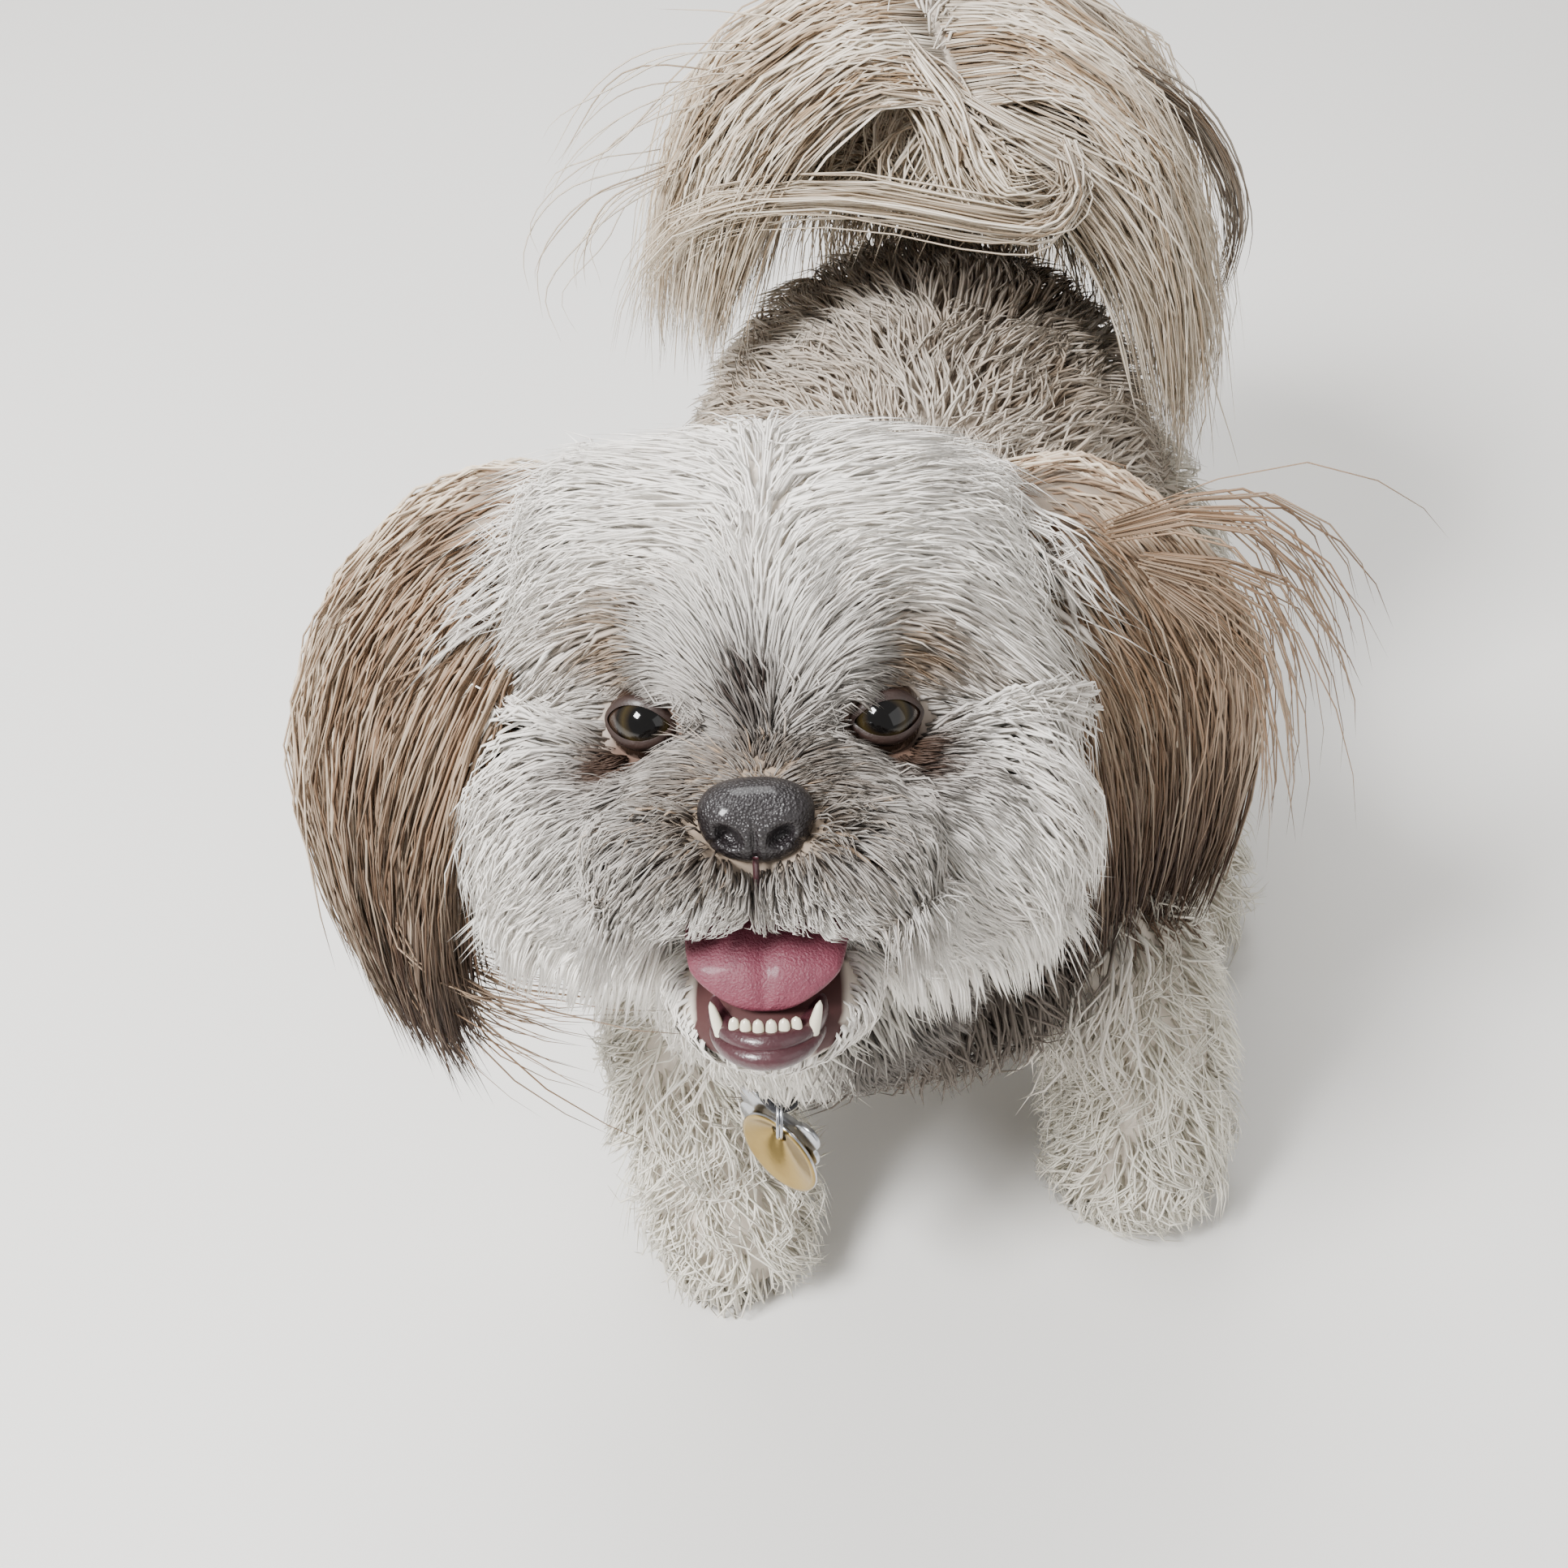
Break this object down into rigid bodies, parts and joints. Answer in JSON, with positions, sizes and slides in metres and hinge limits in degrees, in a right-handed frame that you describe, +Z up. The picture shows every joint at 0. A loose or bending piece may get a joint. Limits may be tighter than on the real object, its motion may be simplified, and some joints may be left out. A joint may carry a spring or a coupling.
{
  "type": "shih tzu",
  "caption": "Life-size still model of a small walking dog with a clipped body, long ear hair and a plumed tail curled over its back.",
  "frame": {"origin": "under the middle of the dog's box, on the floor", "axes": "+Z up, the dog looks along -Y, its own left is +X"},
  "size_m": [0.3426, 0.4586, 0.353],
  "materials": {
    "coat_head": "white and cream hair, brushed flat, brown stain round the eyes",
    "coat_ears": "long straight hair, blond at the top to dark brown at the tips",
    "coat_body": "clipped tousled hair, grey-beige with cream tips",
    "coat_tail": "long hair, grey-beige with pale strands",
    "coat_legs": "wavy cream-white hair",
    "eye": "wet and clear over an olive-brown iris",
    "nose": "charcoal, pebbled and moist",
    "tongue": "wet pink",
    "collar": "black woven webbing",
    "steel_tag": "worn satin steel",
    "brass_tag": "worn satin brass"
  },
  "bodies": {
    "root": {"head": "coat_head", "jaw": "coat_head", "ear_r": "coat_ears", "ear_l": "coat_ears", "neck": "coat_body", "torso": "coat_body", "tail": "coat_tail", "foreleg_r": "coat_legs", "foreleg_l": "coat_legs", "hindleg_r": "coat_legs", "hindleg_l": "coat_legs", "eye_r": "eye", "eye_l": "eye", "nose": "nose", "tongue": "tongue", "collar": "collar", "tag_ring": "steel_tag", "tag_bone": "steel_tag", "tag_round": "brass_tag"}
  },
  "joints": []
}
